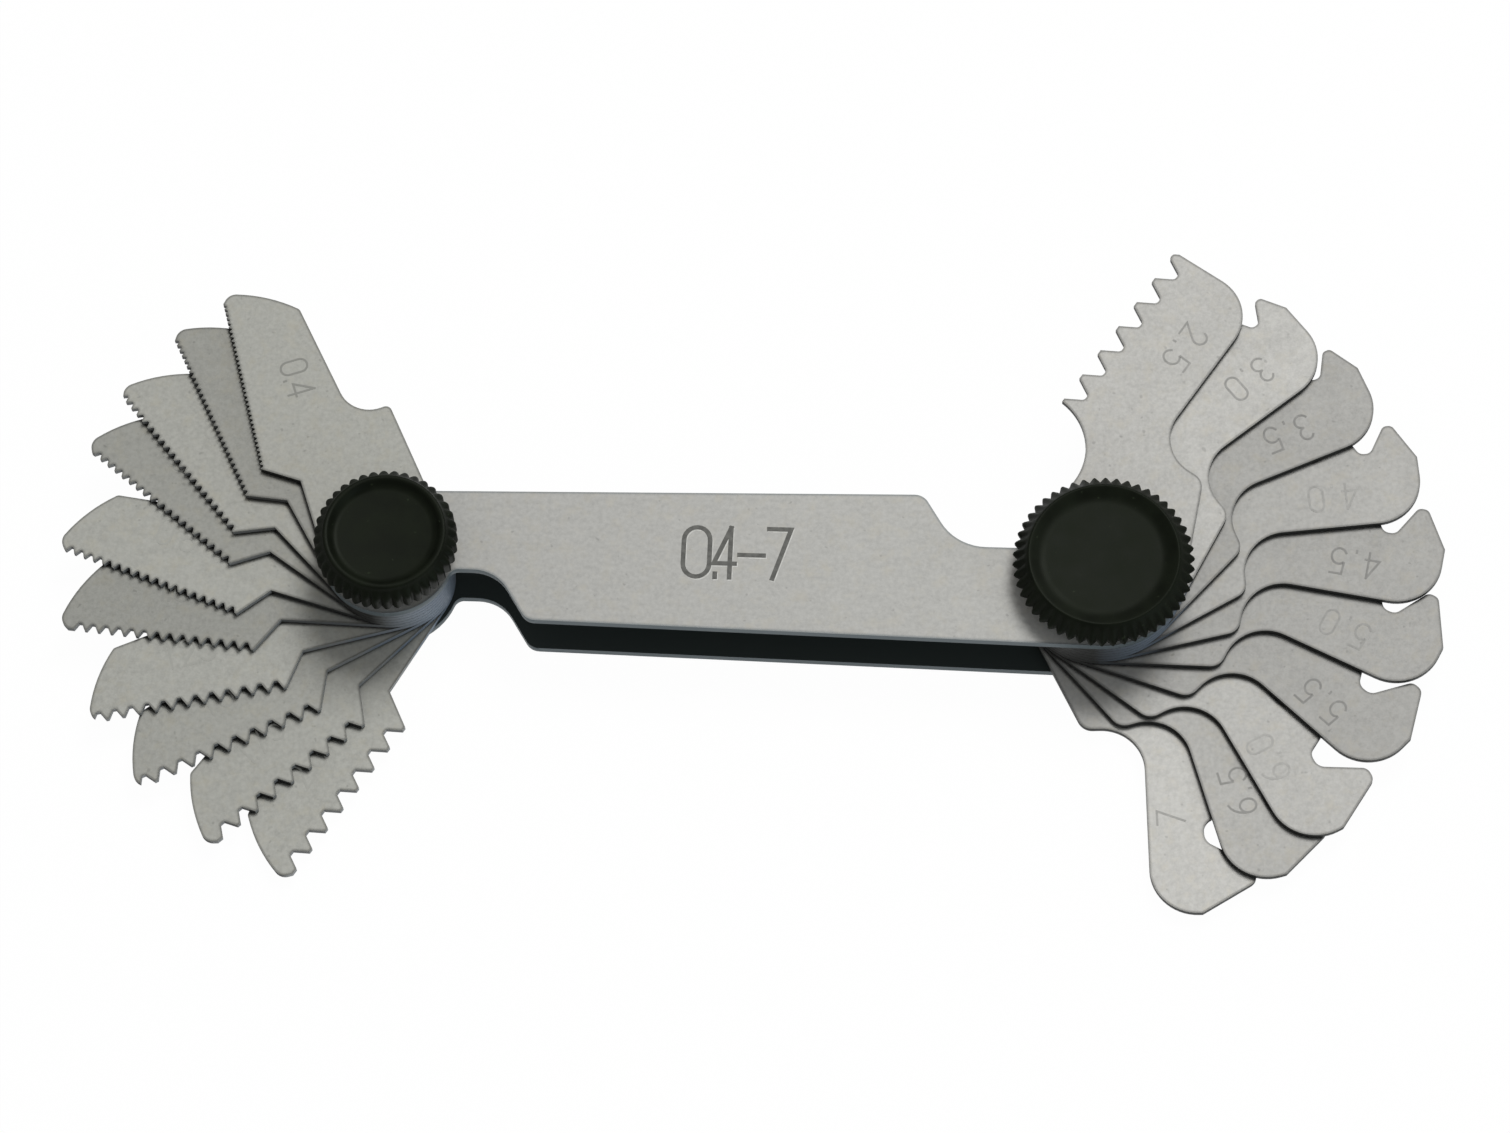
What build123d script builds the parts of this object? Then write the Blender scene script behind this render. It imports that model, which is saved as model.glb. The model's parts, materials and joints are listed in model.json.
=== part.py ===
"""Thread pitch gauge: two stamped holder plates with a fan of toothed leaves at either end.

Millimetres and degrees. The gauge lies on its back plate: z = 0 is the resting face, +Z points to
the front, X runs from the fine (left) pivot to the coarse (right) pivot, and the origin lies
midway between the pivots.
"""
import math
import os

from build123d import *

# Holder plates
pivot_spacing = 54.8
plate_thickness = 0.7
left_plate_radius = 5.1
right_plate_radius = 6.2

# Thumb notches: deepest point beyond the plate's round end, depth line below the pivot, and radius
left_notch_offset = 1.5
left_notch_arch = 1.3
left_notch_radius = 3.2
right_notch_offset = 2.8
right_notch_arch = 1.7
right_notch_radius = 4.1
notch_wall_slope = 58.0
notch_root_round = 0.8
notch_corner_round = 1.2

# Pivot posts, riveted into the back plate
left_post_radius = 2.0
right_post_radius = 2.5
rivet_flare = 0.6
rivet_depth = 0.5
post_end_gap = 0.2

# Clearances
running_clearance = 0.05
leaf_clearance = 0.03
knob_clearance = 0.02

# Leaves, front to back: pitch and swing out of the holder; coarse ones also how far their tip and
# their end crest reach from the pivot
leaf_thickness = 0.47
fine_leaves = [
    (0.4, 120.5),
    (0.5, 131.2),
    (0.7, 145.0),
    (0.75, 156.2),
    (0.8, 174.8),
    (1.0, 189.2),
    (1.25, 207.2),
    (1.5, 221.6),
    (1.75, 237.8),
    (2.0, 252.0),
]
coarse_leaves = [
    (2.5, 259.0, 25.75, 25.28),
    (3.0, 242.0, 25.4, 24.05),
    (3.5, 227.0, 25.3, 23.67),
    (4.0, 209.5, 25.25, 23.28),
    (4.5, 193.0, 25.3, 23.15),
    (5.0, 177.0, 25.45, 22.96),
    (5.5, 160.0, 25.35, 22.85),
    (6.0, 142.0, 25.55, 22.75),
    (6.5, 130.0, 25.8, 22.95),
    (7.0, 115.5, 26.05, 23.05),
]

# Thread form: flanks at 60 degrees to the row, flats and rounds as shares of the pitch
flank_angle = 60.0
crest_flat_share = 0.17
root_flat_share = 0.205
root_round_share = 0.15
crest_round_share = 0.12
rounded_root_pitch = 2.5
overcut_share = 1 / 32

# Fine leaf blank: the pivot is its origin, the neck's front edge runs along x, the back's two corners
# lie below the heel, and the tip's two are measured along and across the tooth row from its end
fine_root_setback = 0.3
fine_fold_lean = 11.0
fine_neck_length = 8.1
fine_heel_x = 10.0
fine_heel_rise = 2.65
fine_row_length = 14.5
fine_row_slope = -3.65
fine_nose_along = 0.72
fine_nose_across = -0.6
fine_tip_bulge = 0.36
fine_back_tip_along = -1.91
fine_back_tip_across = -5.71
fine_waist_x = 12.0
fine_waist_drop = 7.95
fine_neck_corner_x = 12.2
fine_neck_corner_drop = 10.95
fine_waist_round = 2.5
fine_neck_round = 0.5
fine_tip_round = 0.5
fine_nose_round = 0.95

# Coarse leaf blank, drawn the same way, with its tooth row along x
coarse_root_setback = 0.0
coarse_fold_lean = 22.0
coarse_neck_length = 5.2
coarse_heel_x = 10.2
coarse_heel_rise = 4.55
coarse_back_y = 2.7
coarse_tip_round = 3.6
coarse_neck_corner_x = 10.9
coarse_neck_corner_y = -1.9
coarse_waist_round = 3.3
coarse_neck_round = 1.2

# Left knob: hub, upright wall of blunt teeth, shoulder that they fade out on, narrow rim and recess
left_knob_radius = 5.5
left_knob_teeth = 40
left_tooth_depth = 0.35
left_crest_share = 0.45
left_hub_radius = 3.9
left_hub_height = 1.55
left_wall_height = 1.5
left_shoulder_width = 0.66
left_shoulder_height = 0.55
left_rim_slope_width = 0.09
left_rim_width = 0.35
left_rim_height = 0.35
left_recess_slope_width = 0.45
left_recess_depth = 0.5

# Right knob: the same, with sharp teeth low on a sloping flank, and a wide slope into the recess
right_knob_radius = 6.95
right_knob_teeth = 50
right_tooth_depth = 0.42
right_crest_share = 0.15
right_hub_radius = 4.9
right_hub_height = 1.55
right_wall_height = 0.4
right_shoulder_width = 1.02
right_shoulder_height = 1.1
right_rim_slope_width = 0.1
right_rim_width = 0.15
right_rim_height = 0.15
right_recess_slope_width = 0.9
right_recess_depth = 0.4

# Level edge left on a knob's shoulder, share of the shoulder's height where the gaps between the
# teeth run out, and the threaded inserts moulded into the knobs
shoulder_land = 0.05
gap_fade_share = 0.95
insert_wall = 1.1
insert_height = 2.2

# Derived positions
leaf_step = leaf_thickness + leaf_clearance
leaf_count = max(len(fine_leaves), len(coarse_leaves))
slot_bottom = plate_thickness
slot_top = slot_bottom + leaf_count * leaf_step + leaf_clearance
front_face = slot_top + plate_thickness
knob_base = front_face + knob_clearance
left_pivot = Pos(-pivot_spacing / 2, 0, 0)
right_pivot = Pos(pivot_spacing / 2, 0, 0)
fine_root_radius = left_plate_radius - fine_root_setback
fine_heel_y = fine_root_radius + fine_heel_rise
coarse_root_radius = right_plate_radius - coarse_root_setback
coarse_crest_y = coarse_root_radius + coarse_heel_rise


def round_corner(outline, corner, radius):
    """Round the corner of a flat outline that lies nearest to the given point."""
    nearest = outline.vertices().sort_by_distance(corner)[0]
    return fillet(nearest, radius)


def tangent_point(radius, point, side):
    """Where a line from the point touches a circle about the origin, above it (+1) or below (-1)."""
    distance = math.hypot(*point)
    angle = math.atan2(point[1], point[0]) + side * math.acos(radius / distance)
    return (radius * math.cos(angle), radius * math.sin(angle))


def upright_cylinder(radius, height):
    """Cylinder that stands on z = 0."""
    return Cylinder(radius, height, align=(Align.CENTER, Align.CENTER, Align.MIN))


def turned(*corners):
    """Solid of revolution about z from the corners of its half section."""
    return revolve(Plane.XZ * Polygon(*corners, align=None), Axis.Z)


def plate_bar():
    """Straight-sided bar that touches the round ends of the plate."""
    taper = math.asin((right_plate_radius - left_plate_radius) / pivot_spacing)
    left_x = -pivot_spacing / 2 - left_plate_radius * math.sin(taper)
    left_y = left_plate_radius * math.cos(taper)
    right_x = pivot_spacing / 2 - right_plate_radius * math.sin(taper)
    right_y = right_plate_radius * math.cos(taper)
    left_edge = [(left_x, left_y), (left_x, -left_y)]
    right_edge = [(right_x, -right_y), (right_x, right_y)]
    return Polygon(*left_edge, *right_edge, align=None)


def add_plate_end(plate, place, end_radius, offset, arch, radius):
    """Cut the thumb notch beside a pivot, add the round end and soften the notch's corners."""
    slope = math.radians(notch_wall_slope)
    along = end_radius + offset
    centre_y = -arch - radius
    wall_x = along + radius * math.sin(slope)
    wall_y = centre_y + radius * math.cos(slope)
    depth = max(left_plate_radius, right_plate_radius) + notch_corner_round
    foot_x = wall_x + (depth + wall_y) / math.tan(slope)
    wall = [(along, -arch), (wall_x, wall_y), (foot_x, -depth)]
    opening = Polygon((0, -arch), *wall, (0, -depth), align=None)
    notch = opening + Pos(along, centre_y) * Circle(radius)
    plate = plate - place * notch + place * Circle(end_radius)
    root_corner = place * Pos(math.sqrt(end_radius ** 2 - arch ** 2), -arch)
    wall_corner = place * Pos(wall_x + (end_radius + wall_y) / math.tan(slope), -end_radius)
    plate = round_corner(plate, root_corner.position, notch_root_round)
    return round_corner(plate, wall_corner.position, notch_corner_round)


def plate_outline():
    """Tapered holder plate with a thumb notch beside each pivot, one below and one above."""
    plate = plate_bar()
    plate = add_plate_end(
        plate, left_pivot, left_plate_radius, left_notch_offset, left_notch_arch, left_notch_radius
    )
    return add_plate_end(
        plate,
        right_pivot * Rot(0, 0, 180),
        right_plate_radius,
        right_notch_offset,
        right_notch_arch,
        right_notch_radius,
    )


def pivot_post(radius):
    """Pin with a flush riveted foot; its upper end carries the knob's thread."""
    top = knob_base + insert_height - post_end_gap
    foot = [(0, 0), (radius + rivet_flare, 0), (radius, rivet_depth)]
    return turned(*foot, (radius, top), (0, top))


def fine_row_point(along, across):
    """Point of the fine leaf measured along and across its sloping tooth row, from the heel."""
    slope = math.radians(fine_row_slope)
    x = fine_heel_x + along * math.cos(slope) - across * math.sin(slope)
    y = fine_heel_y + along * math.sin(slope) + across * math.cos(slope)
    return (x, y)


def fine_blank():
    """Blank of the fine leaves: offset neck, waisted back and a slanting rounded tip."""
    neck_corner = (fine_neck_corner_x, fine_heel_y - fine_neck_corner_drop)
    waist = (fine_waist_x, fine_heel_y - fine_waist_drop)
    back_tip = fine_row_point(fine_row_length + fine_back_tip_along, fine_back_tip_across)
    nose = fine_row_point(fine_row_length + fine_nose_along, fine_nose_across)
    row_end = fine_row_point(fine_row_length, 0)
    heel = fine_row_point(0, 0)
    step = (fine_neck_length, fine_root_radius)
    root_start = tangent_point(fine_root_radius, neck_corner, -1)
    lower = Polyline(root_start, neck_corner, waist, back_tip)
    tip = SagittaArc(back_tip, nose, -fine_tip_bulge)
    upper = Polyline(nose, row_end, heel, step, (0, fine_root_radius))
    root = ThreePointArc((0, fine_root_radius), (-fine_root_radius, 0), root_start)
    blank = make_face(lower + tip + upper + root)
    blank = round_corner(blank, neck_corner, fine_neck_round)
    blank = round_corner(blank, waist, fine_waist_round)
    blank = round_corner(blank, back_tip, fine_tip_round)
    return round_corner(blank, nose, fine_nose_round)


def coarse_blank(tip):
    """Blank of a coarse leaf: hollow neck, waisted back, straight edges and a rounded tip."""
    neck_corner = (coarse_neck_corner_x, coarse_neck_corner_y)
    waist = (coarse_neck_corner_x, coarse_back_y)
    back_tip = (tip, coarse_back_y)
    nose = (tip, coarse_crest_y)
    heel = (coarse_heel_x, coarse_crest_y)
    neck_end = (coarse_neck_length, coarse_root_radius)
    root_start = tangent_point(coarse_root_radius, neck_corner, -1)
    lower = Polyline(root_start, neck_corner, waist, back_tip, nose, heel)
    hollow = TangentArc(neck_end, heel, tangent=(1, 0))
    neck = Line(neck_end, (0, coarse_root_radius))
    root = ThreePointArc((0, coarse_root_radius), (-coarse_root_radius, 0), root_start)
    blank = make_face(lower + hollow + neck + root)
    blank = round_corner(blank, neck_corner, coarse_neck_round)
    blank = round_corner(blank, waist, coarse_waist_round)
    return round_corner(blank, back_tip, coarse_tip_round)


def tooth_gap(pitch):
    """Gap between two crests, centred on y = 0 at crest level and cut a little above it."""
    lean = math.tan(math.radians(flank_angle))
    crest_flat = pitch * crest_flat_share
    root_half = pitch * root_flat_share / 2
    depth = (pitch - crest_flat - 2 * root_half) / 2 * lean
    overcut = pitch * overcut_share
    top_half = root_half + (depth + overcut) / lean
    root_corners = [(-root_half, -depth), (root_half, -depth)]
    gap = Polygon((-top_half, overcut), *root_corners, (top_half, overcut), align=None)
    if pitch >= rounded_root_pitch:
        for corner in root_corners:
            gap = round_corner(gap, corner, pitch * root_round_share)
    return gap


def fine_leaf(blank, pitch):
    """Cut a row of teeth that starts with a crest at the heel and runs out at the nose."""
    row = Pos(fine_heel_x, fine_heel_y) * Rot(0, 0, fine_row_slope)
    first_gap = pitch * (1 + crest_flat_share) / 2
    gaps = int((fine_row_length - first_gap) / pitch) + 1
    gap = tooth_gap(pitch)
    return blank - [row * Pos(first_gap + index * pitch, 0) * gap for index in range(gaps)]


def coarse_leaf(pitch, tip, end_crest):
    """Cut a row of teeth that starts with a rounded crest near the tip, and the end flank beyond."""
    lean = math.tan(math.radians(flank_angle))
    crest_half = pitch * crest_flat_share / 2
    overcut = pitch * overcut_share
    flank_start = end_crest + crest_half
    outside = tip + pitch
    end_cut = Polygon(
        (flank_start - overcut / lean, coarse_crest_y + overcut),
        (outside, coarse_crest_y + overcut),
        (outside, coarse_crest_y - (outside - flank_start) * lean),
        align=None,
    )
    gaps = math.ceil((end_crest - coarse_heel_x) / pitch)
    gap = tooth_gap(pitch)
    cuts = [Pos(end_crest - (index + 0.5) * pitch, coarse_crest_y) * gap for index in range(gaps)]
    leaf = coarse_blank(tip) - cuts - end_cut
    for corner_x in (end_crest - crest_half, flank_start):
        leaf = round_corner(leaf, (corner_x, coarse_crest_y), pitch * crest_round_share)
    return leaf


def leaf_solid(outline, post_radius, pivot, layer, turn):
    """Bore a leaf for its post, give it its thickness and swing it out in its layer of the stack."""
    bored = outline - Circle(post_radius + running_clearance)
    base = slot_bottom + leaf_clearance + (leaf_count - 1 - layer) * leaf_step
    return pivot * Pos(0, 0, base) * Rot(0, 0, turn) * extrude(bored, amount=leaf_thickness)


def knob_gap(radius, depth, width, wall_height, shoulder_width, shoulder_height):
    """Gap between two knob teeth: upright along the wall, then running out on the shoulder."""
    outside = radius + depth
    section = Polygon((radius - depth, 0), (outside, -width), (outside, width), align=None)
    run_out = (depth - gap_fade_share * shoulder_width, 0, gap_fade_share * shoulder_height)
    wall = extrude(section, amount=wall_height)
    shoulder = extrude(section, amount=math.hypot(*run_out), dir=run_out)
    return wall + Pos(0, 0, wall_height) * shoulder


def toothed_head(radius, teeth, gap, wall_height, shoulder_width, shoulder_height):
    """Head of a knob: an upright wall and a sloping shoulder with one side per tooth, cut by gaps."""
    foot = RegularPolygon(radius, teeth, major_radius=False)
    top = RegularPolygon(radius - shoulder_width, teeth, major_radius=False)
    shoulder = loft([foot, Pos(0, 0, shoulder_height) * top], ruled=True)
    head = extrude(foot, amount=wall_height) + Pos(0, 0, wall_height) * shoulder
    return head - [Rot(0, 0, index * 360 / teeth) * gap for index in range(teeth)]


def knob_insert(post_radius):
    """Brass insert at the foot of a knob, bored to its post's size."""
    shell = upright_cylinder(post_radius + insert_wall, insert_height)
    return shell - upright_cylinder(post_radius + running_clearance, insert_height)


def mounted_knob(head, hub_radius, hub_height, post_radius):
    """Knob head on its hub, hollowed for the insert that it is moulded around."""
    knob = upright_cylinder(hub_radius, hub_height) + Pos(0, 0, hub_height) * head
    return knob - upright_cylinder(post_radius + insert_wall, insert_height)


def left_knob_solid():
    """Left knob: blunt teeth, and a narrow rim about a recess."""
    tooth_step = 2 * math.pi * left_knob_radius / left_knob_teeth
    shoulder_sizes = (left_wall_height, left_shoulder_width, left_shoulder_height)
    gap_width = tooth_step * (1 - left_crest_share)
    gap = knob_gap(left_knob_radius, left_tooth_depth, gap_width, *shoulder_sizes)
    head = toothed_head(left_knob_radius, left_knob_teeth, gap, *shoulder_sizes)
    shoulder = left_knob_radius - left_shoulder_width
    rim_foot = shoulder - shoulder_land
    rim_outside = rim_foot - left_rim_slope_width
    rim_inside = rim_outside - left_rim_width
    floor_radius = rim_inside - left_recess_slope_width
    base = left_wall_height + left_shoulder_height
    top = base + left_rim_height
    floor = top - left_recess_depth
    head += turned((0, base), (rim_foot, base), (rim_outside, top), (0, top))
    head -= turned((0, floor), (floor_radius, floor), (rim_inside, top), (0, top))
    return mounted_knob(head, left_hub_radius, left_hub_height, left_post_radius)


def right_knob_solid():
    """Right knob: sharp teeth, and a narrow rim about a shallow dish."""
    tooth_step = 2 * math.pi * right_knob_radius / right_knob_teeth
    shoulder_sizes = (right_wall_height, right_shoulder_width, right_shoulder_height)
    gap_width = tooth_step * (1 - right_crest_share)
    gap = knob_gap(right_knob_radius, right_tooth_depth, gap_width, *shoulder_sizes)
    head = toothed_head(right_knob_radius, right_knob_teeth, gap, *shoulder_sizes)
    shoulder = right_knob_radius - right_shoulder_width
    rim_foot = shoulder - shoulder_land
    rim_outside = rim_foot - right_rim_slope_width
    rim_inside = rim_outside - right_rim_width
    floor_radius = rim_inside - right_recess_slope_width
    base = right_wall_height + right_shoulder_height
    top = base + right_rim_height
    floor = top - right_recess_depth
    head += turned((0, base), (rim_foot, base), (rim_outside, top), (0, top))
    head -= turned((0, floor), (floor_radius, floor), (rim_inside, top), (0, top))
    return mounted_knob(head, right_hub_radius, right_hub_height, right_post_radius)


def leaf_name(pitch):
    """Node name of a leaf, such as leaf_0_75 for a pitch of 0.75."""
    return "leaf_" + str(float(pitch)).replace(".", "_")


def build_parts():
    """All solids of the gauge by node name, in place."""
    left_post = left_pivot * pivot_post(left_post_radius)
    right_post = right_pivot * pivot_post(right_post_radius)
    outline = plate_outline()
    holes = left_pivot * Circle(left_post_radius + running_clearance)
    holes += right_pivot * Circle(right_post_radius + running_clearance)
    left_seat = left_pivot * Pos(0, 0, knob_base)
    right_seat = right_pivot * Pos(0, 0, knob_base)
    parts = {
        "back_plate": extrude(outline, amount=plate_thickness) - left_post - right_post,
        "front_plate": Pos(0, 0, slot_top) * extrude(outline - holes, amount=plate_thickness),
        "left_pivot_post": left_post,
        "right_pivot_post": right_post,
        "left_knob": left_seat * left_knob_solid(),
        "right_knob": right_seat * right_knob_solid(),
        "left_knob_insert": left_seat * knob_insert(left_post_radius),
        "right_knob_insert": right_seat * knob_insert(right_post_radius),
    }
    blank = fine_blank()
    for layer, (pitch, swing) in enumerate(fine_leaves):
        leaf = fine_leaf(blank, pitch)
        turn = swing - fine_fold_lean
        parts[leaf_name(pitch)] = leaf_solid(leaf, left_post_radius, left_pivot, layer, turn)
    for layer, (pitch, swing, tip, end_crest) in enumerate(coarse_leaves):
        leaf = coarse_leaf(pitch, tip, end_crest)
        turn = 180 + swing - coarse_fold_lean
        parts[leaf_name(pitch)] = leaf_solid(leaf, right_post_radius, right_pivot, layer, turn)
    return parts


def main():
    """Write one STEP file per node."""
    os.makedirs("parts", exist_ok=True)
    for name, solid in build_parts().items():
        export_step(solid, f"parts/{name}.step")


main()
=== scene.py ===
"""Looks of the thread pitch gauge: satin steel plates and leaves, black knobs and engraved numbers.

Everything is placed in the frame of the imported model, in metres. Lengths that are written here are in
millimetres and are turned into metres with MM, apart from those of the lamps and the floor's size.
"""
import json
import math

import bpy
from mathutils import Matrix, Vector


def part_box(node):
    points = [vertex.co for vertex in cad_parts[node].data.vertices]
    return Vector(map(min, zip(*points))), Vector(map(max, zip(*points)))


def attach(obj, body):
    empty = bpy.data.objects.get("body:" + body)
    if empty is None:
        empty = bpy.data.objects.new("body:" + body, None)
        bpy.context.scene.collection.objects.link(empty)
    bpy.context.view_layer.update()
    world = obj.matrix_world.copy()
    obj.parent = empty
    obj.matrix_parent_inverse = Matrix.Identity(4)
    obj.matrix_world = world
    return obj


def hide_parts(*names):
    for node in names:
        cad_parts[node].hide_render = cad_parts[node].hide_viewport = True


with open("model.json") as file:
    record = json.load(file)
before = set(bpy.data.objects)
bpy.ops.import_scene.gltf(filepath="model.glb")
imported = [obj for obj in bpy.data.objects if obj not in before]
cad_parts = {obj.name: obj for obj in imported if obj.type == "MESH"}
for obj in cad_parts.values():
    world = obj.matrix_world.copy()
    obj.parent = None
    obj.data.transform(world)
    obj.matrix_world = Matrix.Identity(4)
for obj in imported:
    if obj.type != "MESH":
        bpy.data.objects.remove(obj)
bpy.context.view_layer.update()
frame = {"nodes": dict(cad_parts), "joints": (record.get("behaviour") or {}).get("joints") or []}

MM = 0.001

# Camera, fitted to the photograph
image_width = 1510
focal_pixels = 6477
sensor_width = 36.0
camera_elevation = 67.14
camera_azimuth = 6.5
camera_roll = -4.46
camera_distance = 496.2
camera_target = (0.765, -0.12, 5.7)

# Lamps: place and size in metres, power in watts, and colour
lamps = {
    "key": ((0.22, 0.46, 0.82), 0.4, 5.9, (1.0, 1.0, 1.0)),
    "fill": ((0.5, -0.35, 0.22), 0.3, 0.6, (0.72, 0.86, 1.0)),
}
world_strength = 0.4

# Floor: size in metres, how far it lies below the gauge, its finish, and how much of it shows as plain
# white
floor_size = 2.0
floor_gap = 0.1
floor_grey = (0.9, 0.9, 0.9)
floor_roughness = 0.9
floor_whiteness = 0.98

# Colours, linear
# The fine and the coarse leaves are one steel: the fine ones are painted darker and the coarse ones
# lighter as painted light and shade
fine_steel = (0.37, 0.37, 0.338)
coarse_steel = (0.438, 0.432, 0.408)
plate_steel = (0.394, 0.391, 0.37)
# Painted shade: dark walls and outlines of the leaves
leaf_wall_painted_shade = (0.035, 0.036, 0.034)
# Painted reflection: bluish edges of the leaves' hubs
hub_painted_reflection = (0.17, 0.21, 0.26)
# Painted highlight: pale edges that face the light
lit_edge_painted_highlight = (0.26, 0.27, 0.27)
# Painted shade: dark bluish walls and outlines of the plates
plate_wall_painted_shade = (0.11, 0.135, 0.145)
# Painted shade: black of the faces that are sheltered in the slot
shelter_painted_shade = (0.034, 0.043, 0.041)
# Painted shade: black of the shadowed crevices beside the steps of the sheet steel
crevice_painted_shade = (0.004, 0.0045, 0.004)
knob_black = (0.0046, 0.0062, 0.0034)
knob_sheen = (0.92, 1.0, 0.84)
post_steel = (0.4, 0.4, 0.4)
insert_brass = (0.55, 0.38, 0.14)
plate_number_black = (0.075, 0.075, 0.069)

# Painted light and shade: leaves that catch more or less light than the rest, as factors on their steel's
# colour
leaf_painted_light = {
    "leaf_0_5": 0.81, "leaf_0_75": 0.84, "leaf_0_8": 1.03, "leaf_1_0": 0.8, "leaf_1_5": 0.93,
    "leaf_2_0": 1.03, "leaf_2_5": 0.89, "leaf_3_0": 0.93, "leaf_3_5": 0.72, "leaf_4_0": 0.8,
    "leaf_4_5": 0.73, "leaf_5_0": 0.74, "leaf_5_5": 0.74, "leaf_6_0": 0.92, "leaf_6_5": 0.86,
    "leaf_7_0": 1.1,
}

# Spread of tone from piece to piece
piece_spread = 0.03

# Noises of each finish: features per millimetre, detail and roughness
steel_noises = {
    "cloud": (0.32, 3.0, 0.5),
    "grain": (2.8, 3.0, 0.7),
    "streak": (1.0, 2.0, 0.5),
    "speck": (1.7, 1.0, 0.5),
    "stain": (0.9, 4.0, 0.6),
}
plastic_noises = {"cloud": (0.5, 3.0, 0.5), "pores": (9.0, 2.0, 0.5), "dust": (2.6, 1.0, 0.5)}
metal_noises = {"rings": (1.0, 3.0, 0.5), "cloud": (0.8, 2.0, 0.5)}
groove_noises = {"wear": (2.2, 2.0, 0.5)}

# Layers of tone: their noise and its lower and upper limit, their share above it, and the factor of the
# colour that they bring, or one factor for each channel
steel_layers = (
    ("cloud", 0.35, 0.65, 0.3, 1.05),
    ("grain", 0.35, 0.7, 0.8, 0.77),
    ("stain", 0.5, 0.75, 0.5, (1.0, 0.95, 0.84)),
    ("streak", 0.4, 0.7, 0.2, 1.14),
    ("speck", 0.72, 0.78, 0.4, 0.45),
)
plastic_ground = 0.7
plastic_layers = (("cloud", 0.35, 0.65, 1.0, 1.3), ("dust", 0.74, 0.8, 0.25, 10.0))
metal_ground = 0.8
metal_layers = (("rings", 0.3, 0.7, 1.0, 1.1), ("cloud", 0.5, 0.8, 0.3, 0.6))
groove_limits = (0.35, 0.7)

# How much the streaks of the steel and the rings of turned metal are packed along x, y and z
no_stretch = (1.0, 1.0, 1.0)
leaf_stretch = (1.2, 1.2, 1.2)
plate_stretch = (0.9, 2.2, 1.0)
ring_stretch = (0.4, 0.4, 6.0)

# Gloss: the noise limits between which the roughness changes, its lowest and highest value, the share of
# metal, and the level of specular reflection
roughness_limits = (0.3, 0.7)
steel_roughness = (0.49, 0.53)
plastic_roughness = (0.42, 0.54)
post_roughness = (0.34, 0.46)
insert_roughness = (0.29, 0.41)
groove_roughness = (0.45, 0.6)
steel_metallic = 0.25
steel_specular = 0.2
plastic_specular = 0.08

# Bumps: strength and depth
steel_bump = (0.12, 0.02)
plastic_bump = (0.15, 0.02)

# Broken edges of the sheet steel
leaf_edge_break = 0.1
plate_edge_break = 0.08
edge_segments = 2
edge_angle = 50.0
weld_reach = 0.0001

# Painted shade: black lines on the shaded side of a step in the sheet steel: how far from the step they
# reach, the tilt that openness is looked for with, and the openness between which they fade
crevice_reach = 0.5
crevice_tilt = (0.36, 0.82, 0.0)
crevice_limits = (0.45, 0.57)
crevice_samples = 8

# Painted shade on the walls and as dark outlines along the edges of the sheet steel, and how level a face
# has to lie so as not to be a wall
outline_reach = 0.4
outline_limits = (0.012, 0.09)
outline_share = 0.7
outline_samples = 6
wall_limits = (0.8, 0.985)

# Painted highlight on the edges that face the light: the directions that they face, and how far they have
# to face them
fine_lit_side = (0.75, -0.66, 0.0)
coarse_lit_side = (0.8, 0.6, 0.0)
lit_limits = (0.45, 0.85)

# Hubs of the leaves, which get a painted bluish reflection on the edges that face one side, and faces
# that are sheltered in the slot, which get painted black shade
hub_lit_side = (0.85, -0.53, 0.0)
hub_lit_limits = (0.45, 1.0)
hub_reach = 6.2
hub_fade = 0.8
shelter_limits = (0.5, 0.9)

# Leaves: how far each blank leans when it is folded, and the place of the number that is stamped on it,
# along the leaf from its pivot and across it
fine_fold_lean = 11.0
coarse_fold_lean = 22.0
fine_number_place = (16.6, 2.7)
coarse_number_places = {
    "leaf_2_5": (19.4, 5.5), "leaf_3_0": (19.3, 5.9), "leaf_3_5": (18.1, 5.5), "leaf_4_0": (18.4, 5.2),
    "leaf_4_5": (18.7, 5.3), "leaf_5_0": (18.1, 5.2), "leaf_5_5": (18.4, 4.8), "leaf_6_0": (18.0, 4.5),
    "leaf_6_5": (18.4, 5.2), "leaf_7_0": (18.3, 4.5),
}
leaf_number_height = 2.1
leaf_number_stroke = 0.17
leaf_number_wear = 1.05
fine_number_gap = 0.17
coarse_number_gap = 0.33
clear_fine_leaf = "leaf_0_4"
number_shade = 0.62
faint_fine_shade = 0.88
faint_coarse_shade = 0.8
faint_coarse_leaves = ("leaf_4_0", "leaf_5_0", "leaf_6_0")
single_digit_leaf = "leaf_7_0"

# Range number on the front plate: cramped characters, each with its own width, and the painted highlight
# beside them
plate_number = "0.4-7"
plate_number_widths = {"0": 0.49, ".": 0.0, "4": 0.39, "-": 0.45, "7": 0.41}
plate_number_gap = 0.085
plate_number_place = (-0.64, 0.66)
plate_number_height = 4.1
plate_number_stroke = 0.36
plate_number_wear = 1.9
# Painted highlight beside the range number: its shift, its lightness against the plate's steel, and its
# wear
lip_highlight_shift = (0.07, -0.1)
lip_highlight_factor = 1.3
lip_highlight_wear = 0.85

# Height of the numbers over the face that carries them
number_lift = 0.006
second_stroke_lift = 0.0015

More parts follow.
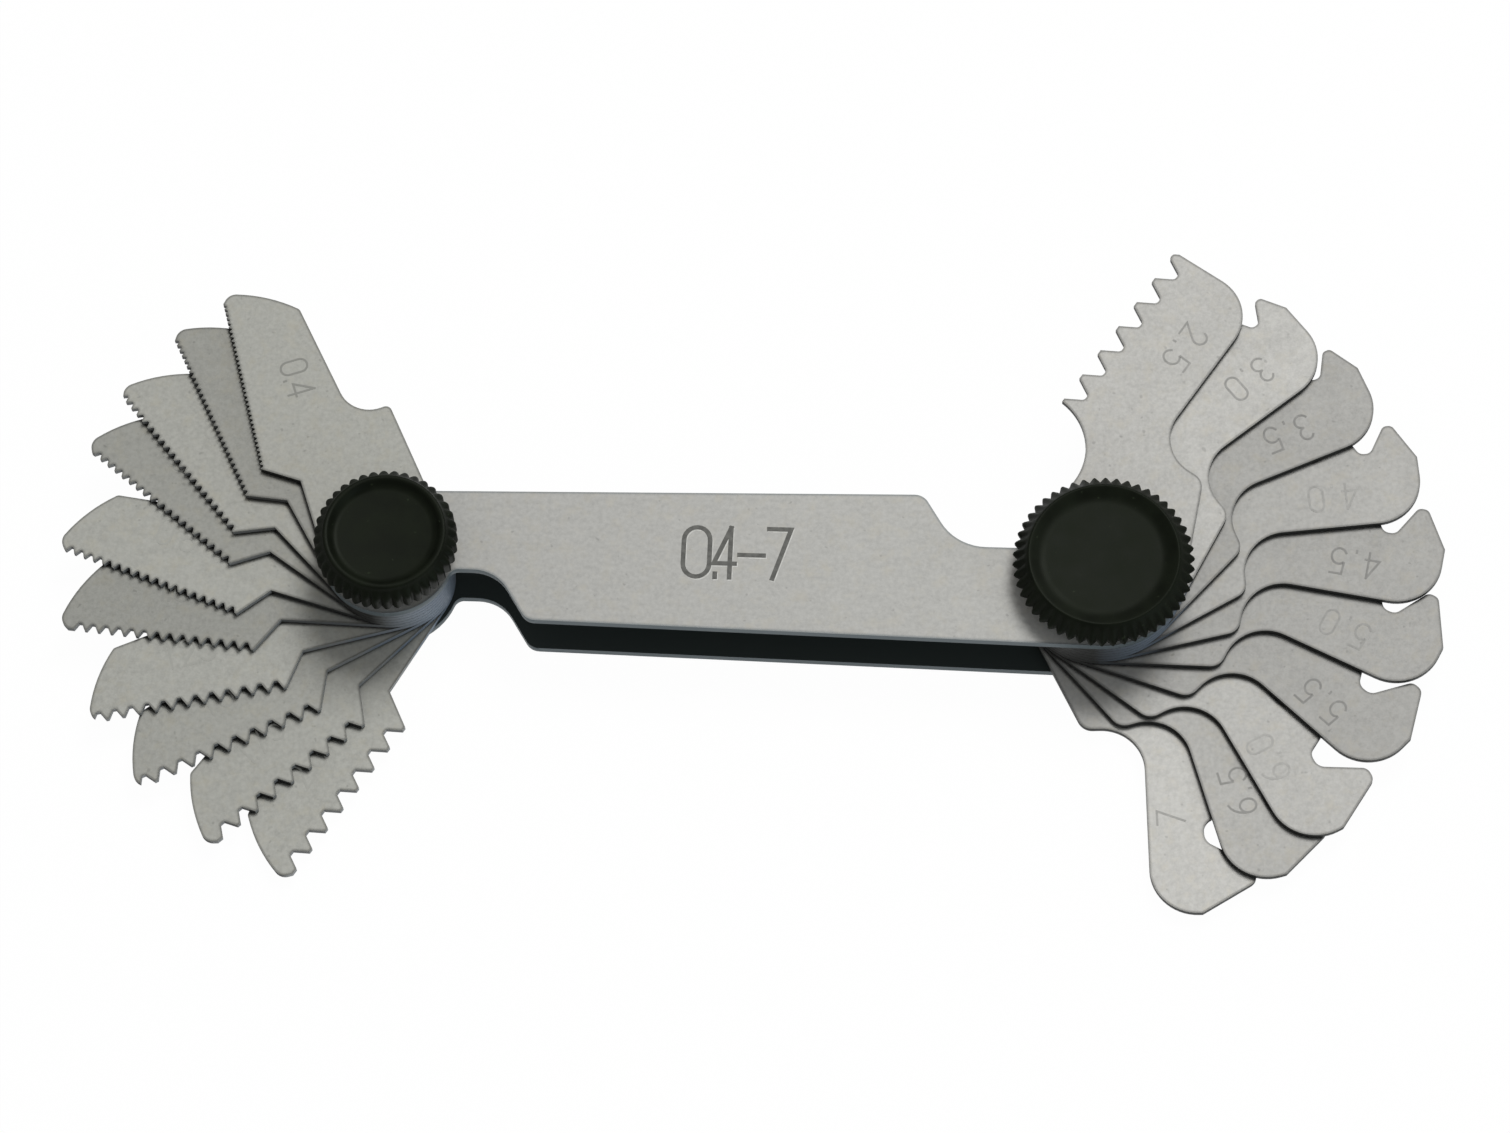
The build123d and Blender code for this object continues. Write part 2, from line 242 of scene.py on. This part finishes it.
# Knobs: widths go inwards from the node's radius, heights go up from its foot, and the recess goes down
# from its top
knobs = {
    "left_knob": {
        "body": "left_clamp", "teeth": 40, "tooth_depth": 0.35, "blunt": True,
        "hub_radius": 3.9, "hub_height": 1.55, "wall_height": 1.5,
        "shoulder_width": 0.66, "shoulder_height": 0.55, "rim_slope_width": 0.14, "rim_width": 0.35,
        "recess_slope_width": 0.45, "recess_depth": 0.5, "rim_round": 0.15, "recess_round": 0.35,
    },
    "right_knob": {
        "body": "right_clamp", "teeth": 50, "tooth_depth": 0.42, "blunt": False,
        "hub_radius": 4.9, "hub_height": 1.55, "wall_height": 0.4,
        "shoulder_width": 1.02, "shoulder_height": 1.1, "rim_slope_width": 0.15, "rim_width": 0.15,
        "recess_slope_width": 0.9, "recess_depth": 0.4, "rim_round": 0.3, "recess_round": 0.4,
    },
}
foot_round = 0.12
shoulder_round = 0.3
longest_round = 0.45
sharp_crest_flat = 0.15
samples_per_tooth = 8
corner_samples = 5

# Characters in a cell one unit high: width, and strokes of points (x, y) and of arcs (centre x and y,
# radii, start and end angle)
glyphs = {
    "0": (0.52, [[(0.26, 0.74, 0.26, 0.26, 180, 0), (0.26, 0.26, 0.26, 0.26, 0, -180), (0.0, 0.74)]]),
    "1": (0.2, [[(0.0, 0.8), (0.18, 1.0), (0.18, 0.0)]]),
    "2": (0.52, [[(0.26, 0.73, 0.26, 0.27, 165, -40), (0.0, 0.0), (0.52, 0.0)]]),
    "3": (0.52, [[(0.26, 0.755, 0.23, 0.245, 150, -80)], [(0.26, 0.255, 0.26, 0.255, 80, -150)]]),
    "4": (0.52, [[(0.4, 0.0), (0.4, 1.0)], [(0.4, 1.0), (0.0, 0.28), (0.52, 0.28)]]),
    "5": (0.52, [[(0.5, 1.0), (0.08, 1.0), (0.04, 0.56), (0.25, 0.31, 0.27, 0.31, 130, -150)]]),
    "6": (0.52, [[(0.26, 0.3, 0.26, 0.3, 180, -180)], [(0.52, 0.3, 0.52, 0.7, 180, 100)]]),
    "7": (0.52, [[(0.0, 1.0), (0.52, 1.0), (0.12, 0.0)]]),
    "8": (0.52, [[(0.26, 0.76, 0.22, 0.24, 0, 360)], [(0.26, 0.26, 0.26, 0.26, 0, 360)]]),
    ".": (0.06, [[(0.03, 0.0), (0.03, 0.07)]]),
    "-": (0.44, [[(0.0, 0.46), (0.44, 0.46)]]),
}
arc_step = 15
same_point = 0.001

# Corners of a stroke: the least cosine that a mitre is worked out with, the longest mitre in half widths,
# and how near the ends of a closed stroke lie in half widths
sharpest_mitre = 0.3
longest_mitre = 2.2
closing_share = 0.1


def node_tree(name):
    """New material with an empty node graph that ends in a principled shader."""
    material = bpy.data.materials.new(name)
    material.use_nodes = True
    tree = material.node_tree
    tree.nodes.clear()
    output = tree.nodes.new("ShaderNodeOutputMaterial")
    shader = tree.nodes.new("ShaderNodeBsdfPrincipled")
    tree.links.new(shader.outputs[0], output.inputs[0])
    return material, tree, shader


def feed(tree, value, socket):
    """Link a node's output to a socket, or set the socket to a plain value. Plain colours are opaque."""
    if isinstance(value, bpy.types.NodeSocket):
        tree.links.new(value, socket)
    elif socket.type == "RGBA":
        socket.default_value = (*value, 1.0)
    else:
        socket.default_value = value


def math_node(tree, operation, first, second=0.0):
    """Result of a math node."""
    node = tree.nodes.new("ShaderNodeMath")
    node.operation = operation
    feed(tree, first, node.inputs[0])
    feed(tree, second, node.inputs[1])
    return node.outputs[0]


def vector_node(tree, operation, first, second=(0.0, 0.0, 0.0), output="Vector"):
    """Result of a vector math node."""
    node = tree.nodes.new("ShaderNodeVectorMath")
    node.operation = operation
    feed(tree, first, node.inputs[0])
    feed(tree, second, node.inputs[1])
    return node.outputs[output]


def ramp(tree, value, low, high, out_low=0.0, out_high=1.0):
    """Map a value between two limits, clamped."""
    node = tree.nodes.new("ShaderNodeMapRange")
    feed(tree, value, node.inputs["Value"])
    node.inputs["From Min"].default_value = low
    node.inputs["From Max"].default_value = high
    node.inputs["To Min"].default_value = out_low
    node.inputs["To Max"].default_value = out_high
    return node.outputs["Result"]


def blend_colour(tree, factor, first, second):
    """Mix two colours."""
    node = tree.nodes.new("ShaderNodeMixRGB")
    feed(tree, factor, node.inputs["Fac"])
    feed(tree, first, node.inputs["Color1"])
    feed(tree, second, node.inputs["Color2"])
    return node.outputs["Color"]


def millimetre_coordinates(tree, stretch=no_stretch):
    """Coordinates of the piece at rest, in millimetres, stretched if asked."""
    source = tree.nodes.new("ShaderNodeTexCoord")
    mapping = tree.nodes.new("ShaderNodeMapping")
    mapping.inputs["Scale"].default_value = [factor / MM for factor in stretch]
    tree.links.new(source.outputs["Object"], mapping.inputs["Vector"])
    return mapping.outputs["Vector"]


def noise_values(tree, noises, stretches):
    """Values of a finish's noise textures by their names, stretched where asked."""
    values = {}
    for name, (scale, detail, roughness) in noises.items():
        node = tree.nodes.new("ShaderNodeTexNoise")
        node.inputs["Scale"].default_value = scale
        node.inputs["Detail"].default_value = detail
        node.inputs["Roughness"].default_value = roughness
        place = millimetre_coordinates(tree, stretches.get(name, no_stretch))
        tree.links.new(place, node.inputs["Vector"])
        values[name] = node.outputs["Fac"]
    return values


def shade(colour, factor):
    """A colour made lighter or darker by a factor, or by one factor for each channel."""
    factors = factor if isinstance(factor, tuple) else (factor, factor, factor)
    return tuple(channel * share for channel, share in zip(colour, factors))


def lay_tones(tree, tone, colour, values, layers):
    """Lay tones of a colour over a first tone, each where its noise is high."""
    for name, low, high, share, factor in layers:
        where = ramp(tree, values[name], low, high, 0.0, share)
        tone = blend_colour(tree, where, tone, shade(colour, factor))
    return tone


def finish_surface(tree, shader, tone, value, roughness):
    """Give the shader its colour, and a roughness that follows a noise."""
    tree.links.new(tone, shader.inputs["Base Color"])
    tree.links.new(ramp(tree, value, *roughness_limits, *roughness), shader.inputs["Roughness"])


def bump(tree, height, strength, distance, shader):
    """Give the shader a bumpy surface."""
    node = tree.nodes.new("ShaderNodeBump")
    node.inputs["Strength"].default_value = strength
    node.inputs["Distance"].default_value = distance * MM
    tree.links.new(height, node.inputs["Height"])
    tree.links.new(node.outputs["Normal"], shader.inputs["Normal"])


def surface_normal(tree):
    """Direction that the surface faces."""
    return tree.nodes.new("ShaderNodeNewGeometry").outputs["Normal"]


def facing(tree, direction):
    """How far the surface faces a direction, from -1 to 1."""
    return vector_node(tree, "DOT_PRODUCT", surface_normal(tree), direction, "Value")


def openness(tree, reach, tilt):
    """How open the surface lies within a reach in millimetres, looking out with a tilt."""
    tilted = vector_node(tree, "NORMALIZE", vector_node(tree, "ADD", surface_normal(tree), tilt))
    node = tree.nodes.new("ShaderNodeAmbientOcclusion")
    node.samples = crevice_samples
    node.inputs["Distance"].default_value = reach * MM
    tree.links.new(tilted, node.inputs["Normal"])
    return node.outputs["AO"]


def sharpness(tree, reach):
    """How near the surface lies to a sharp edge: 0 away from it, and rising within the reach."""
    softened = tree.nodes.new("ShaderNodeBevel")
    softened.samples = outline_samples
    softened.inputs["Radius"].default_value = reach * MM
    match = vector_node(tree, "DOT_PRODUCT", softened.outputs["Normal"], surface_normal(tree), "Value")
    return math_node(tree, "SUBTRACT", 1.0, match)


def nearness(tree, pivot):
    """1 on a hub about an upright pivot, and 0 beyond it."""
    flat = vector_node(tree, "MULTIPLY", millimetre_coordinates(tree), (1.0, 1.0, 0.0))
    reach = vector_node(tree, "DISTANCE", flat, (pivot.x / MM, pivot.y / MM, 0.0), "Value")
    return ramp(tree, reach, hub_reach, hub_reach + hub_fade, 1.0, 0.0)


def satin_steel(name, colour, painted_wall_shade, lit_side, stretch, dark_side=0.0, pivot=None):
    """Satin sheet steel: clouded tone, fine grain and dark specks, with painted shade on its walls and
    edges and painted black shade in its crevices.

    lit_side is the direction of the edges that get a painted highlight. dark_side is the upward direction
    (1 or -1) of a face that is sheltered in the slot and gets painted black shade. A leaf's hub, about
    its pivot, gets a painted reflection on the edges that face one side.
    """
    material, tree, shader = node_tree(name)
    values = noise_values(tree, steel_noises, {"streak": stretch})
    piece = tree.nodes.new("ShaderNodeObjectInfo").outputs["Random"]
    tone = blend_colour(tree, piece, shade(colour, 1 - piece_spread), shade(colour, 1 + piece_spread))
    tone = lay_tones(tree, tone, colour, values, steel_layers)
    # Painted shade: black lines in the crevices on the shaded side of each step
    crevice_shade_mask = ramp(tree, openness(tree, crevice_reach, crevice_tilt), *crevice_limits)
    tone = blend_colour(tree, crevice_shade_mask, crevice_painted_shade, tone)
    # Painted highlight on the edges that face the light
    lit = ramp(tree, facing(tree, lit_side), *lit_limits)
    edge = blend_colour(tree, lit, painted_wall_shade, lit_edge_painted_highlight)
    if pivot:
        # Painted reflection on the hub's edges that face one side
        hub_reflection_mask = ramp(tree, facing(tree, hub_lit_side), *hub_lit_limits)
        hub_reflection_mask = math_node(tree, "MULTIPLY", nearness(tree, pivot), hub_reflection_mask)
        edge = blend_colour(tree, hub_reflection_mask, edge, hub_painted_reflection)
    height = facing(tree, (0.0, 0.0, 1.0))
    # Painted shade: walls and outlines take the dark edge colour, or its painted highlight or reflection
    wall = ramp(tree, math_node(tree, "ABSOLUTE", height), *wall_limits, 1.0, 0.0)
    outline = ramp(tree, sharpness(tree, outline_reach), *outline_limits, 0.0, outline_share)
    tone = blend_colour(tree, math_node(tree, "MAXIMUM", wall, outline), tone, edge)
    if dark_side:
        # Painted shade: faces sheltered in the slot are painted black
        sheltered_shade_mask = ramp(tree, math_node(tree, "MULTIPLY", height, dark_side), *shelter_limits)
        tone = blend_colour(tree, sheltered_shade_mask, tone, shelter_painted_shade)
    finish_surface(tree, shader, tone, values["cloud"], steel_roughness)
    shader.inputs["Metallic"].default_value = steel_metallic
    shader.inputs["Specular IOR Level"].default_value = steel_specular
    bump(tree, values["grain"], *steel_bump, shader)
    return material


def moulded_plastic(name, colour):
    """Black moulded plastic with a satin skin, fine pores and a few pale dust specks."""
    material, tree, shader = node_tree(name)
    values = noise_values(tree, plastic_noises, {})
    tone = lay_tones(tree, shade(colour, plastic_ground), colour, values, plastic_layers)
    finish_surface(tree, shader, tone, values["cloud"], plastic_roughness)
    shader.inputs["Specular IOR Level"].default_value = plastic_specular
    feed(tree, knob_sheen, shader.inputs["Specular Tint"])
    bump(tree, values["pores"], *plastic_bump, shader)
    return material


def turned_metal(name, colour, roughness):
    """Turned metal with fine rings of tone."""
    material, tree, shader = node_tree(name)
    values = noise_values(tree, metal_noises, {"rings": ring_stretch})
    tone = lay_tones(tree, shade(colour, metal_ground), colour, values, metal_layers)
    finish_surface(tree, shader, tone, values["rings"], roughness)
    shader.inputs["Metallic"].default_value = 1.0
    return material


def groove(name, colour, wear):
    """Floor of an engraved stroke, or a painted highlight beside it, worn in places to a tone that is the
    colour times the wear.
    """
    material, tree, shader = node_tree(name)
    values = noise_values(tree, groove_noises, {})
    tone = lay_tones(tree, colour, colour, values, [("wear", *groove_limits, 1.0, wear)])
    finish_surface(tree, shader, tone, values["wear"], groove_roughness)
    shader.inputs["Metallic"].default_value = steel_metallic
    shader.inputs["Specular IOR Level"].default_value = steel_specular
    return material


def arc_points(x, y, radius_x, radius_y, start, end):
    """Points of an elliptic arc."""
    steps = max(2, round(abs(end - start) / arc_step))
    angles = [math.radians(start + (end - start) * step / steps) for step in range(steps + 1)]
    return [(x + radius_x * math.cos(angle), y + radius_y * math.sin(angle)) for angle in angles]


def stroke_points(stroke):
    """All points of a character's stroke, with its arcs worked out and repeated points left out."""
    points = []
    for item in stroke:
        points += [item] if len(item) == 2 else arc_points(*item)
    pairs = zip(points, points[1:])
    return points[:1] + [point for before, point in pairs if math.dist(before, point) > same_point]


def text_strokes(text, gap, widths):
    """Strokes of a short number, one unit high, centred on the origin."""
    strokes = []
    pen = 0.0
    for character in text:
        drawn, parts = glyphs[character]
        width = widths.get(character, drawn)
        scale = width / drawn if width else 1.0
        for part in parts:
            strokes.append([(pen + x * scale, y - 0.5) for x, y in stroke_points(part)])
        pen += width + gap if width else 0.0
    middle = (pen - gap) / 2
    return [[(x - middle, y) for x, y in stroke] for stroke in strokes]


def ribbon(points, width):
    """Flat ribbon along a line of points, open or closed: its edge points and faces."""
    half = width / 2
    closed = math.dist(points[0], points[-1]) < closing_share * half
    line = [Vector(point) for point in (points[:-1] if closed else points)]
    count = len(line)
    edges = []
    for index, point in enumerate(line):
        last = index == count - 1
        before = (point - line[index - 1]).normalized() if index or closed else None
        after = (line[(index + 1) % count] - point).normalized() if closed or not last else None
        first, second = before or after, after or before
        middle = (first + second).normalized()
        normal = Vector((-middle.y, middle.x))
        mitre = max(normal.dot(Vector((-first.y, first.x))), sharpest_mitre)
        reach = min(half / mitre, longest_mitre * half)
        overrun = 0.0 if before and after else half if before else -half
        shifted = point + middle * overrun
        edges += [shifted + normal * reach, shifted - normal * reach]
    faces = []
    for index in range(count if closed else count - 1):
        here, there = 2 * index, 2 * ((index + 1) % count)
        faces.append((here + 1, there + 1, there, here))
    return edges, faces


def mesh_piece(name, points, faces, body, material):
    """New mesh piece that rides on a body, with its material."""
    mesh = bpy.data.meshes.new(name)
    mesh.from_pydata(points, [], faces)
    mesh.materials.append(material)
    mesh.update()
    piece = bpy.data.objects.new(name, mesh)
    bpy.context.scene.collection.objects.link(piece)
    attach(piece, body)
    return piece


def number_piece(name, strokes, height, width, place, body, material):
    """Engraved number as flat ribbons just over the face that carries it.

    Every second stroke lies a little higher, so two strokes of a digit never share a plane.
    """
    points = []
    faces = []
    for index, line in enumerate(strokes):
        edges, quads = ribbon([(x * height, y * height) for x, y in line], width)
        start = len(points)
        lift = second_stroke_lift * (index % 2)
        points += [place @ (Vector((edge.x, edge.y, lift)) * MM) for edge in edges]
        faces += [tuple(start + corner for corner in quad) for quad in quads]
    return mesh_piece(name, points, faces, body, material)


def leaf_joints():
    """Hinges of the leaves: the leaf's name, its pivot and how far it is swung out at rest."""
    for joint in frame["joints"]:
        if joint["child"].startswith("leaf_"):
            yield joint["child"], Vector(joint["pos_m"]), -joint["range_deg"][0]


def leaf_colour(leaf, fine):
    """Colour of a leaf's steel, with the light and shade that are painted on it."""
    return shade(fine_steel if fine else coarse_steel, leaf_painted_light.get(leaf, 1.0))


def leaf_number(leaf):
    """Number on a leaf, from its name: 0.4, 0.75, 2.5 or 7."""
    whole, part = leaf.split("_")[1:]
    return whole if leaf == single_digit_leaf else whole + "." + part


def number_depth(leaf, fine):
    """How dark the number on a leaf is beside its steel: some are worn faint."""
    if fine:
        return number_shade if leaf == clear_fine_leaf else faint_fine_shade
    return faint_coarse_shade if leaf in faint_coarse_leaves else number_shade


def number_leaves():
    """Stamp each leaf with its pitch, read from the tip towards the pivot."""
    for leaf, pivot, swing in leaf_joints():
        fine = pivot.x < 0
        turn = swing - fine_fold_lean if fine else 180 + swing - coarse_fold_lean
        along, across = fine_number_place if fine else coarse_number_places[leaf]
        place = Matrix.Translation((pivot.x, pivot.y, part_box(leaf)[1].z + number_lift * MM))
        place @= Matrix.Rotation(math.radians(turn), 4, "Z")
        place @= Matrix.Translation((along * MM, across * MM, 0.0))
        place @= Matrix.Rotation(math.pi, 4, "Z")
        strokes = text_strokes(leaf_number(leaf), fine_number_gap if fine else coarse_number_gap, {})
        colour = shade(leaf_colour(leaf, fine), number_depth(leaf, fine))
        material = groove(leaf + "_number_groove", colour, leaf_number_wear)
        number_piece(
            leaf + "_number", strokes, leaf_number_height, leaf_number_stroke, place,
            leaf, material,
        )


def number_plate():
    """Engrave the range on the front plate, with a painted highlight beside it."""
    floor = groove("plate_number_floor", plate_number_black, plate_number_wear)
    lip_highlight = groove("plate_number_lip", shade(plate_steel, lip_highlight_factor), lip_highlight_wear)
    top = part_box("front_plate")[1].z
    strokes = text_strokes(plate_number, plate_number_gap, plate_number_widths)
    for name, shift, lift, material in (
        # Painted highlight beside the strokes
        ("plate_number_lip", lip_highlight_shift, number_lift / 2, lip_highlight),
        ("plate_number", (0.0, 0.0), number_lift, floor),
    ):
        x, y = (place + move for place, move in zip(plate_number_place, shift))
        place = Matrix.Translation((x * MM, y * MM, top + lift * MM))
        number_piece(
            name, strokes, plate_number_height, plate_number_stroke, place,
            "holder", material,
        )


def rounded_section(corners):
    """Half section through (radius, height, rounding, tooth share) corners, each rounded smoothly."""
    points = []
    for index, (radius, height, rounding, share) in enumerate(corners):
        corner = Vector((radius, height, share))
        if not rounding or index in (0, len(corners) - 1):
            points.append(corner)
            continue
        arms = []
        for neighbour in (corners[index - 1], corners[index + 1]):
            arm = Vector((neighbour[0], neighbour[1], neighbour[3])) - corner
            arms.append(corner + arm * min(rounding / arm.xy.length, longest_round))
        for step in range(corner_samples + 1):
            t = step / corner_samples
            points.append(arms[0] * (1 - t) ** 2 + corner * 2 * t * (1 - t) + arms[1] * t ** 2)
    return points


def knob_section(sizes, radius, height):
    """Corners of a knob's half section, with how deep the tooth gaps are at each of them."""
    wall_top = sizes["hub_height"] + sizes["wall_height"]
    shoulder_top = wall_top + sizes["shoulder_height"]
    shoulder = radius - sizes["shoulder_width"]
    rim_outside = shoulder - sizes["rim_slope_width"]
    rim_inside = rim_outside - sizes["rim_width"]
    floor_radius = rim_inside - sizes["recess_slope_width"]
    floor = height - sizes["recess_depth"]
    return rounded_section([
        (sizes["hub_radius"], 0.0, 0.0, 0.0),
        (sizes["hub_radius"], sizes["hub_height"], 0.0, 0.0),
        (radius, sizes["hub_height"], foot_round, 1.0),
        (radius, wall_top, shoulder_round, 1.0),
        (shoulder, shoulder_top, sizes["rim_round"], 0.0),
        (rim_outside, height, sizes["rim_round"], 0.0),
        (rim_inside, height, sizes["rim_round"], 0.0),
        (floor_radius, floor, sizes["recess_round"], 0.0),
        (0.0, floor, 0.0, 0.0),
    ])


def tooth_gap(share, blunt):
    """Depth of a tooth gap across one tooth: 0 on its crest and 1 at its roots."""
    side = abs(2 * share - 1)
    return side ** 2 if blunt else max(0.0, (1 + sharp_crest_flat) * side - sharp_crest_flat)


def knob_piece(node, sizes, material):
    """Knob turned from its half section, with its teeth cut into the edge."""
    low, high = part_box(node)
    centre = (low + high) / 2
    radius = (high.x - low.x) / 2 / MM
    section = knob_section(sizes, radius, (high.z - low.z) / MM)
    one_tooth = [tooth_gap(step / samples_per_tooth, sizes["blunt"]) for step in range(samples_per_tooth)]
    gaps = one_tooth * sizes["teeth"]
    around = len(gaps)
    points = []
    for reach, height, share in section:
        z = low.z + height * MM
        for step, gap in enumerate(gaps):
            angle = 2 * math.pi * step / around
            r = (reach - gap * share * sizes["tooth_depth"]) * MM
            points.append((centre.x + r * math.cos(angle), centre.y + r * math.sin(angle), z))
    faces = []
    for ring in range(len(section) - 1):
        for step in range(around):
            following = (step + 1) % around
            first, second = ring * around, (ring + 1) * around
            faces.append((first + step, first + following, second + following, second + step))
    piece = mesh_piece(node + "_moulding", points, faces, sizes["body"], material)
    for polygon in piece.data.polygons:
        polygon.use_smooth = True
    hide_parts(node)


def dress(material, *names):
    """Give CAD nodes a material of the scene's own."""
    for name in names:
        slots = frame["nodes"][name].data.materials
        slots.clear()
        slots.append(material)


def break_edges(name, width):
    """Break the sharp stamped edges of a CAD node."""
    node = frame["nodes"][name]
    weld = node.modifiers.new("weld", "WELD")
    weld.merge_threshold = weld_reach * MM
    edge = node.modifiers.new("edge", "BEVEL")
    edge.width = width * MM
    edge.segments = edge_segments
    edge.limit_method = "ANGLE"
    edge.angle_limit = math.radians(edge_angle)


def dress_steel():
    """Finish of the leaves, plates, posts and inserts."""
    for leaf, pivot, _ in leaf_joints():
        fine = pivot.x < 0
        colour = leaf_colour(leaf, fine)
        lit_side = fine_lit_side if fine else coarse_lit_side
        dress(satin_steel(leaf + "_satin", colour, leaf_wall_painted_shade, lit_side, leaf_stretch, pivot=pivot), leaf)
        break_edges(leaf, leaf_edge_break)
    for plate, dark_side in (("front_plate", -1.0), ("back_plate", 1.0)):
        steel = satin_steel(
            plate + "_satin", plate_steel, plate_wall_painted_shade, coarse_lit_side, plate_stretch, dark_side
        )
        dress(steel, plate)
        break_edges(plate, plate_edge_break)
    steel = turned_metal("post_turned_steel", post_steel, post_roughness)
    dress(steel, "left_pivot_post", "right_pivot_post")
    brass = turned_metal("insert_turned_brass", insert_brass, insert_roughness)
    dress(brass, "left_knob_insert", "right_knob_insert")


def white_for_camera(tree, shader_output, output, share):
    """Show plain white to the camera and in reflections, with the shaded surface mixed in."""
    path = tree.nodes.new("ShaderNodeLightPath")
    seen = math_node(tree, "MAXIMUM", path.outputs["Is Camera Ray"], path.outputs["Is Glossy Ray"])
    seen = math_node(tree, "MAXIMUM", seen, path.outputs["Is Transmission Ray"])
    white = tree.nodes.new("ShaderNodeEmission")
    white.inputs["Color"].default_value = (1.0, 1.0, 1.0, 1.0)
    white.inputs["Strength"].default_value = 1.0
    mix = tree.nodes.new("ShaderNodeMixShader")
    tree.links.new(math_node(tree, "MULTIPLY", seen, share), mix.inputs[0])
    tree.links.new(shader_output, mix.inputs[1])
    tree.links.new(white.outputs[0], mix.inputs[2])
    tree.links.new(mix.outputs[0], output.inputs[0])


def add_floor():
    """Wide white floor that keeps a faint shadow."""
    material, tree, shader = node_tree("floor_white")
    feed(tree, floor_grey, shader.inputs["Base Color"])
    shader.inputs["Roughness"].default_value = floor_roughness
    output = next(node for node in tree.nodes if node.type == "OUTPUT_MATERIAL")
    white_for_camera(tree, shader.outputs[0], output, floor_whiteness)
    half = floor_size / 2
    corners = [(-half, -half, 0.0), (half, -half, 0.0), (half, half, 0.0), (-half, half, 0.0)]
    mesh = bpy.data.meshes.new("floor")
    mesh.from_pydata(corners, [], [(0, 1, 2, 3)])
    mesh.materials.append(material)
    floor = bpy.data.objects.new("floor", mesh)
    floor.location.z = -floor_gap * MM
    bpy.context.scene.collection.objects.link(floor)


def add_world():
    """Even white surroundings."""
    world = bpy.data.worlds.new("studio")
    bpy.context.scene.world = world
    world.use_nodes = True
    background = world.node_tree.nodes["Background"]
    background.inputs["Color"].default_value = (1.0, 1.0, 1.0, 1.0)
    background.inputs["Strength"].default_value = world_strength


def add_lamps():
    """Soft square lamps aimed at the gauge."""
    for name, (place, size, power, colour) in lamps.items():
        data = bpy.data.lights.new(name, "AREA")
        data.size = size
        data.energy = power
        data.color = colour
        lamp = bpy.data.objects.new(name, data)
        lamp.location = place
        lamp.rotation_euler = (-Vector(place)).to_track_quat("-Z", "Y").to_euler()
        bpy.context.scene.collection.objects.link(lamp)


def add_camera():
    """Camera at the photograph's viewpoint."""
    elevation, azimuth, roll = (math.radians(a) for a in (camera_elevation, camera_azimuth, camera_roll))
    flat = Vector((math.sin(azimuth), -math.cos(azimuth), 0.0))
    back = flat * math.cos(elevation) + Vector((0.0, 0.0, math.sin(elevation)))
    level = Vector((math.cos(azimuth), math.sin(azimuth), 0.0))
    upright = back.cross(level)
    right = level * math.cos(roll) + upright * math.sin(roll)
    up = upright * math.cos(roll) - level * math.sin(roll)
    place = (Vector(camera_target) + back * camera_distance) * MM
    data = bpy.data.cameras.new("camera")
    data.sensor_width = sensor_width
    data.sensor_fit = "HORIZONTAL"
    data.lens = sensor_width * focal_pixels / image_width
    camera = bpy.data.objects.new("camera", data)
    camera.matrix_world = Matrix.Translation(place) @ Matrix((right, up, back)).transposed().to_4x4()
    bpy.context.scene.collection.objects.link(camera)
    bpy.context.scene.camera = camera


def main():
    """Dress the CAD nodes, add the pieces of the scene's own, and light it."""
    dress_steel()
    plastic = moulded_plastic("knob_black_plastic", knob_black)
    for node, sizes in knobs.items():
        knob_piece(node, sizes, plastic)
    number_leaves()
    number_plate()
    add_floor()
    add_world()
    add_lamps()
    add_camera()
    bpy.context.scene.view_settings.view_transform = "Standard"


main()
